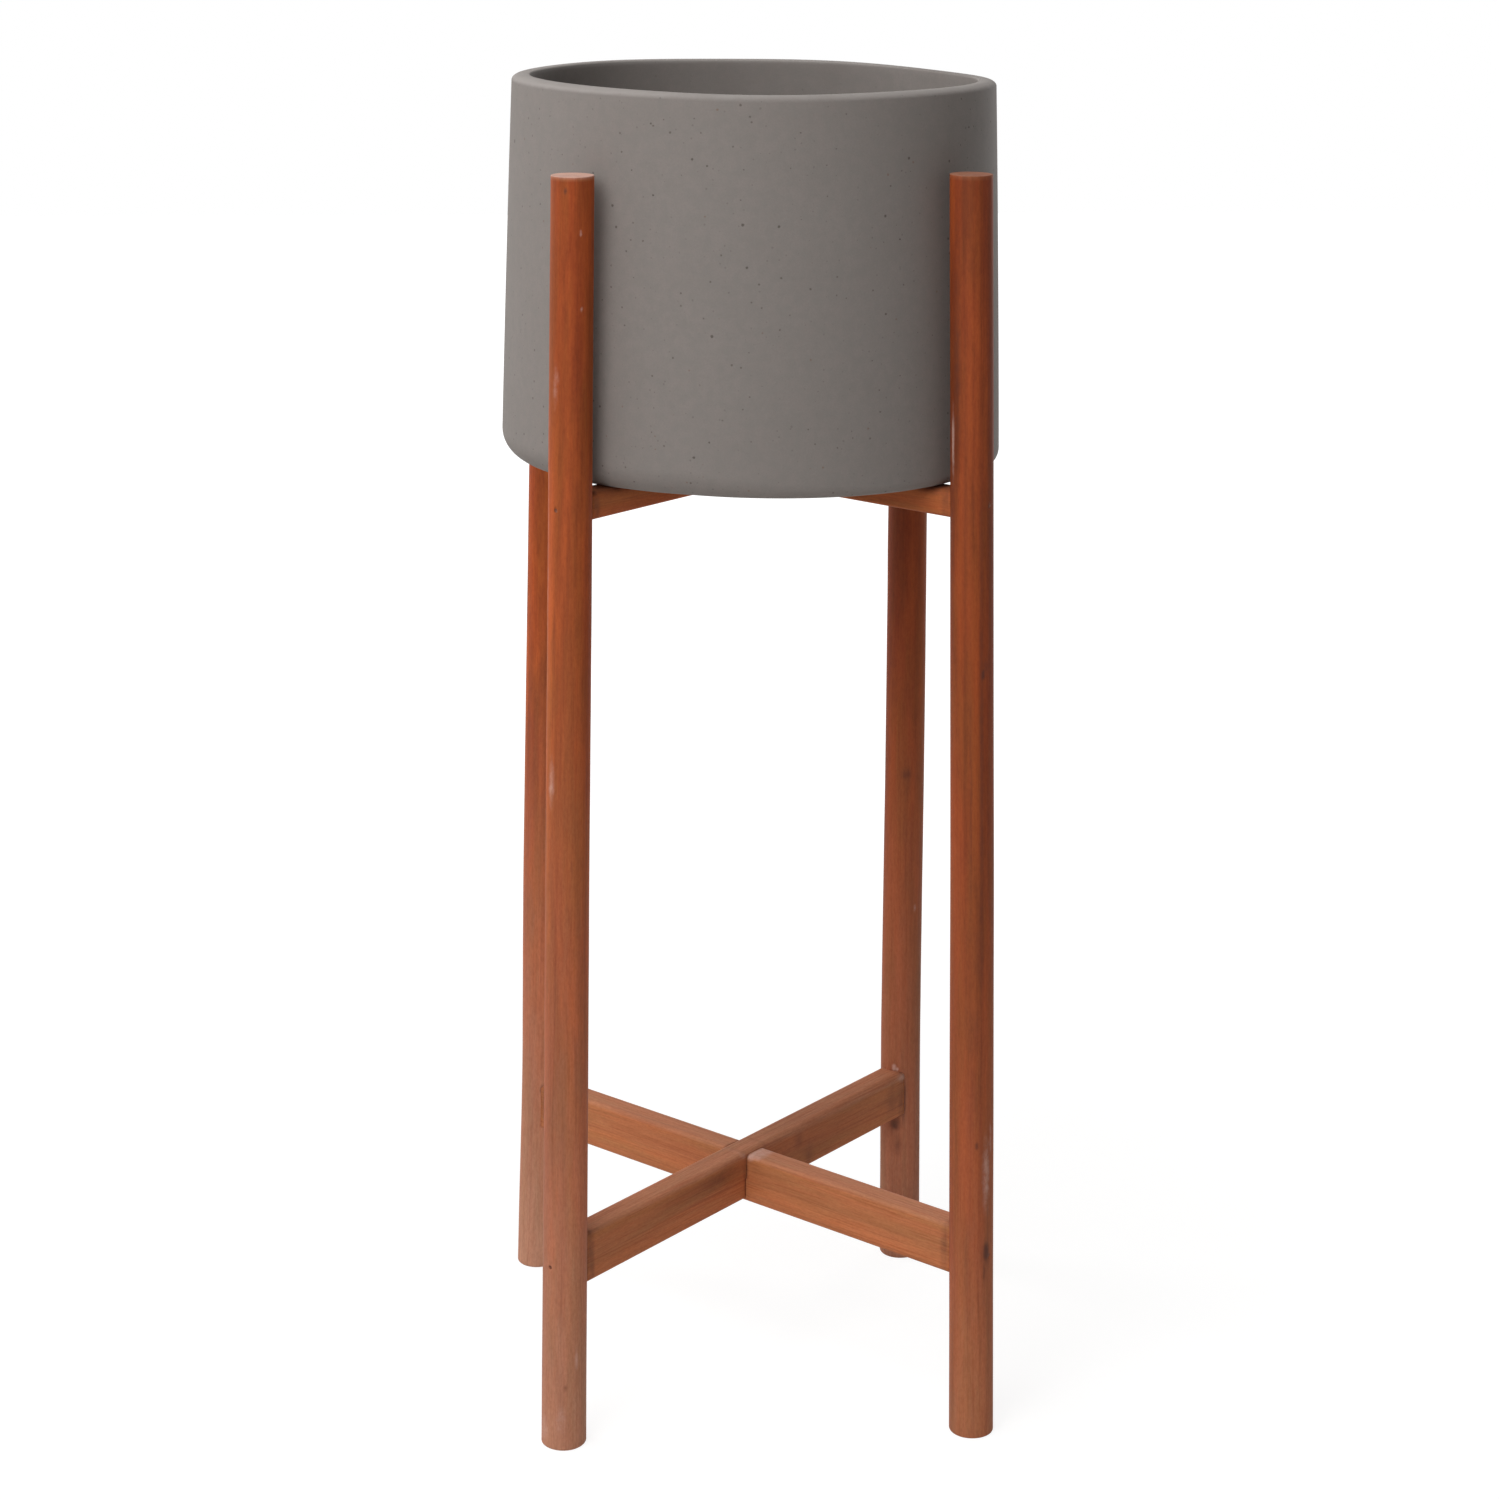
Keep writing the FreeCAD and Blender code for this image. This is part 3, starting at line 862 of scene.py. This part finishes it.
# %% Outline a bar
def bar_outline(bar, edge_top=0.0035, edge_bottom=0.002, spacing=0.0025):
    """Points round a bar's section, as distance across and height, with rounded edges."""
    half, top, bottom = bar_width / 2, bar["top"], bar["top"] - bar["tall"]
    outline = []
    for y, z, turn, edge in ((half, bottom, -90, edge_bottom), (half, top, 0, edge_top),
                             (-half, top, 90, edge_top), (-half, bottom, 180, edge_bottom)):
        middle_y, middle_z = y - math.copysign(edge, y), z + (edge if z == bottom else -edge)
        for i in range(7):
            angle = math.radians(turn + 15 * i)
            outline.append((middle_y + edge * math.cos(angle), middle_z + edge * math.sin(angle)))
    even = []
    for here, there in zip(outline, outline[1:] + outline[:1]):
        steps = max(1, round(math.dist(here, there) / spacing))
        even += [(here[0] + (there[0] - here[0]) * i / steps, here[1] + (there[1] - here[1]) * i / steps)
                 for i in range(steps)]
    return even


print("a lower bar's outline has", len(bar_outline(bar_levels["lower"])), "points")

# %% Shape the bars
bar_steps = 121
bar_uneven = 0.004
glue_line = 0.00015
lap_gap = 0.0002
block_reach, block_over = 0.02, 0.01


def bar_rings(plus, minus, bar, seed, rise):
    """Rings along a bar, from the minus leg to the plus leg, which it meets a little higher by rise."""
    along = direction(plus)
    side = np.array([-along[1], along[0], 0])
    uneven = waves(seed, 5, 30, 8)
    outline = np.array(bar_outline(bar))
    y, z = outline[:, 0], outline[:, 1]
    turn = np.arctan2(z - bar["top"] + bar["tall"] / 2, y)
    cope = np.sqrt(thickness(z) ** 2 - y ** 2) + glue_line
    ends = (-(reach(minus, z) - cope), reach(plus, z) - cope)
    rings = []
    for share in np.linspace(0, 1, bar_steps):
        x = ends[0] + (ends[1] - ends[0]) * share
        shrink = 1 - bar_uneven + uneven(turn, x) * bar_uneven
        across = y * shrink
        tall = bar["top"] + (z - bar["top"]) * (1 + uneven(turn, x + 1) * bar_uneven / 2)
        rings.append(np.outer(x, along) + np.outer(across, side) + np.outer(tall + rise * share, (0, 0, 1)))
    return rings


def lap_cutter(other, bar, over):
    """A block where the other bar passes through."""
    along = direction(other)
    side = np.array([-along[1], along[0], 0])
    split = bar["top"] - bar["tall"] / 2
    bottom = bar["top"] - bar["tall"]
    low, high = (bottom - block_over, split) if over else (split, bar["top"] + block_over)
    half = bar_width / 2 + lap_gap
    square = [(-block_reach, -half), (block_reach, -half), (block_reach, half), (-block_reach, half)]
    rings = [[along * x + side * y + np.array([0, 0, z]) for x, y in square] for z in (low, high)]
    return cutter(*skin(rings))


print("bar tools ready")

# %% List the marks on the bars
# A mark: metres along from the crossing, metres up, then how far it reaches both ways, and its strength.
bar_marks = {
    "wood_upper_bar_over": {
        "rise": 0.0, "depth": 0.18, "darker": [],
        # painted shadow: the pot's shadow, painted dark at this bar's front left end
        "stain_and_shadow": [(-0.132, 0.5725, 0.022, 0.004, 0.5)],
        "scuff": [],
    },
    "wood_upper_bar_under": {
        "rise": -0.001, "depth": 0.18, "darker": [],
        # painted shadow: the pot's shadow, painted dark at this bar's front right end
        "stain_and_shadow": [(0.138, 0.5725, 0.014, 0.004, 0.6)],
        "scuff": [],
    },
    "wood_lower_bar_over": {
        "rise": 0.0034, "depth": 0.04,
        "darker": [(-0.055, 0.1255, 0.05, 0.0045, 0.36), (0.06, 0.117, 0.06, 0.018, 0.3)],
        "stain_and_shadow": [(-0.034, 0.1255, 0.026, 0.007, 0.5), (0.045, 0.125, 0.006, 0.008, 0.45),
                  (0.056, 0.113, 0.007, 0.01, 0.45), (0.148, 0.12, 0.01, 0.016, 0.5)],
        "scuff": [(0.158, 0.1324, 0.006, 0.003, 0.7), (-0.012, 0.1324, 0.004, 0.003, 0.4)],
    },
    "wood_lower_bar_under": {
        "rise": 0.0, "depth": 0.0, "darker": [],
        "stain_and_shadow": [(-0.15, 0.118, 0.009, 0.016, 0.4)],
        "scuff": [(0.012, 0.1324, 0.003, 0.004, 0.85), (0.016, 0.1324, 0.006, 0.0025, 0.6)],
    },
}
# the bars' marks include the two painted shadows of the pot on the upper bars
print("knots and dirt on the bars:", sum(len(marks["stain_and_shadow"]) for marks in bar_marks.values()))

# %% Make the bars
crossing = (("back_right", "front_left", True), ("front_right", "back_left", False))
lap_edge = 0.0095
# Bars are darker where they meet legs and along the lap's edges; their tops are painted paler, a painted
# highlight.
for level, bar in bar_levels.items():
    for number, (plus, minus, over) in enumerate(crossing):
        lap = "over" if over else "under"
        name = f"wood_{level}_bar_{lap}"
        marks = bar_marks[name]
        points, faces = skin(bar_rings(plus, minus, bar, 45 + number, marks["rise"]))
        piece = add_piece(name, points, faces, wood_finish, "stand", "stained_wood")
        carve(piece, [lap_cutter("front_right" if over else "back_right", bar, over)])
        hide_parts(f"{level}_bar_{lap}")
        at = points_of(piece)
        along = direction(plus)
        x, y, z = at @ along, at @ np.array([-along[1], along[0], 0]), at[:, 2]
        offset = 9 + number + (level == "upper") * 3  # another part of the noise for each bar
        store(piece, "grain", "FLOAT_VECTOR", np.stack([y, z - bar["top"], x + offset], 1))
        leg_radius, middle = thickness(bar["top"]), bar["top"] - bar["tall"] / 2
        ends = (reach(plus, bar["top"]) - leg_radius, leg_radius - reach(minus, bar["top"]))
        joint_darkening = [(place, middle, 0.0034, bar["tall"], 0.55) for place in ends]
        joint_darkening += [(place, middle, 0.0018, bar["tall"], 0.6) for place in (-lap_edge, lap_edge)]
        painted_top_light = np.clip((z - bar["top"] + 0.0025) / 0.002, 0, 1)
        store(piece, "stain_and_shadow", "FLOAT", cover(x, z, joint_darkening + marks["stain_and_shadow"]))
        store(piece, "scuff", "FLOAT", cover(x, z, marks["scuff"]))
        store(piece, "depth", "FLOAT", marks["depth"] + cover(x, z, marks["darker"]))
        # painted highlight: a bar's top is painted paler, for the light that it catches
        store(piece, "bleach_and_top_light", "FLOAT", 0.18 + painted_top_light * 0.35 if level == "lower" else 0.05 + painted_top_light * 0.1)
        store(piece, "pale", "FLOAT", np.full(len(at), 0.55 if level == "lower" else 0.25))
        print(piece.name, len(at), "points")

# %% [markdown]
# ## The drain plug
# A rubber plug closes the hole in the pot's floor. It has a flange that lies on the floor, a ribbed stem in the
# hole and a small grip to pull. It could be put together from cylinders, but one turned section, like the
# pot's, has no seams and lets each edge be rounded a little.

# %% Turn the plug
plug_around = 96


def plug_section():
    """Half of the plug's cross-section, from under its stem up to the middle of its grip."""
    face = pot_floor + 0.003
    stem = [(0.0003, seat + 0.001), (0.0094, seat + 0.001), (0.0104, seat + 0.0016), (0.01092, seat + 0.0025)]
    for i in range(4):
        z = seat + 0.004 + i * 0.0026
        stem += [(0.0106, z), (0.01092, z + 0.0007), (0.01092, z + 0.0014), (0.0106, z + 0.0019)]
    flange = [(0.0107, pot_floor - 0.0001), (0.0162, pot_floor), (0.0169, pot_floor + 0.0006),
              (0.017, face - 0.001), (0.0166, face - 0.0003), (0.016, face), (0.0125, face),
              (0.0085, face + 0.0002)]
    grip = [(0.0068, face + 0.0009), (0.0063, face + 0.003), (0.0064, face + 0.006), (0.0065, face + 0.0078),
            (0.0062, face + 0.0086), (0.0055, face + 0.009), (0.003, face + 0.0088), (0.0003, face + 0.0087)]
    return stem + flange + grip


turn = np.arange(plug_around) * 2 * math.pi / plug_around
rings = [np.stack([r * np.cos(turn), r * np.sin(turn), z + 0 * turn], 1) for r, z in plug_section()]
plug = add_piece("rubber_drain_plug", *skin(rings), rubber_finish, "drain_plug", "plug_rubber")
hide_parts("drain_plug")
print("plug:", len(plug.data.vertices), "points")

# %% [markdown]
# ## Floor
# The planter stands on a plain pale floor. Pale floors tend to come out grey, and more light would wash out the
# planter, so the camera sees the floor partly as a white glow, while light that bounces off it sees plain
# paint. The glow grows with distance, which hides the horizon and leaves the planter's shadow.

# %% Lay the floor
floor_half = 6


def seen_directly(paint):
    """1 for rays from the camera, also by way of a gloss or a glass, and 0 for light that bounces about."""
    rays = paint.node("ShaderNodeLightPath", {}, {}, "Is Camera Ray")
    return rays + rays.also("Is Glossy Ray") + rays.also("Is Transmission Ray")


def pale_floor():
    paint = Paint("pale_floor")
    paint.feed(paint.shader, "Base Color", colour(232, 231, 229))
    paint.feed(paint.shader, "Roughness", 0.9)
    place = paint.node("ShaderNodeTexCoord", {}, {}, "Object")
    away = paint.node("ShaderNodeVectorMath", {"operation": "LENGTH"}, {0: place}, "Value")
    share = seen_directly(paint) * (step(paint, away, 0.4, 1.5) * 0.28 + 0.72)
    glow = paint.node("ShaderNodeEmission", {}, {"Color": (1, 1, 1, 1), "Strength": 1.2})
    both = paint.node("ShaderNodeMixShader", {}, {0: share, 1: Wire(paint, paint.shader.outputs[0]), 2: glow})
    paint.tree.links.new(both.socket, paint.tree.nodes["Material Output"].inputs["Surface"])
    return paint.owner


ground = bpy.data.meshes.new("floor")
corners = [(x * floor_half, y * floor_half, 0) for x, y in ((-1, -1), (1, -1), (1, 1), (-1, 1))]
ground.from_pydata(corners, [], [(0, 1, 2, 3)])
ground.materials.append(pale_floor())
floor_piece = bpy.data.objects.new("floor", ground)
scene.collection.objects.link(floor_piece)
print("floor laid")

# %% [markdown]
# ## Light
# Daylight from a window could be copied with the sun, but a studio's soft light comes from large lamps, and
# large lamps make soft shadows. The largest stands in front, a little to the left, and shapes the round forms.
# One behind on the left lights the edges there, a weak one behind on the right keeps that side readable, and
# one above on the left opens up the inside of the pot. The pale world fills the rest.

# %% Light the studio
def lamp(name, place, target, size, power):
    light = bpy.data.lights.new(name, "AREA")
    light.shape = "DISK"
    light.size = size
    light.energy = power
    holder = bpy.data.objects.new(name, light)
    scene.collection.objects.link(holder)
    holder.location = place
    holder.rotation_euler = (Vector(target) - Vector(place)).to_track_quat("-Z", "Y").to_euler()
    return holder


# Each lamp: its place, what it looks at, its width and its watts.
lamps = {
    "key_lamp": ((-1.4, -2.34, 2.2), (0, 0, 0.45), 2.2, 56.5),
    "back_lamp": ((-2.25, 1.3, 1.6), (0, 0, 0.45), 1.4, 26.0),
    "side_lamp": ((1.7, 2.0, 1.0), (0, 0, 0.5), 1.0, 11.5),
    "top_lamp": ((-0.8, -0.5, 2.5), (0, 0, 0.6), 1.4, 16.0),
}
for name, settings in lamps.items():
    lamp(name, *settings)
print("lamps:", ", ".join(lamps))

# %% Light the world
world_glow = 0.16
world = scene.world or bpy.data.worlds.new("studio")
scene.world = world
air = Paint("studio", world)
plain = air.node("ShaderNodeBackground", {}, {"Color": (1, 1, 1, 1), "Strength": world_glow})
white = air.node("ShaderNodeBackground", {}, {"Color": (1, 1, 1, 1), "Strength": 1.0})
shown = air.node("ShaderNodeMixShader", {}, {0: seen_directly(air), 1: plain, 2: white})
output = next(n for n in air.tree.nodes if n.type == "OUTPUT_WORLD")
air.tree.links.new(shown.socket, output.inputs["Surface"])
print("the world gives", world_glow, "to the planter and is white to the eye")
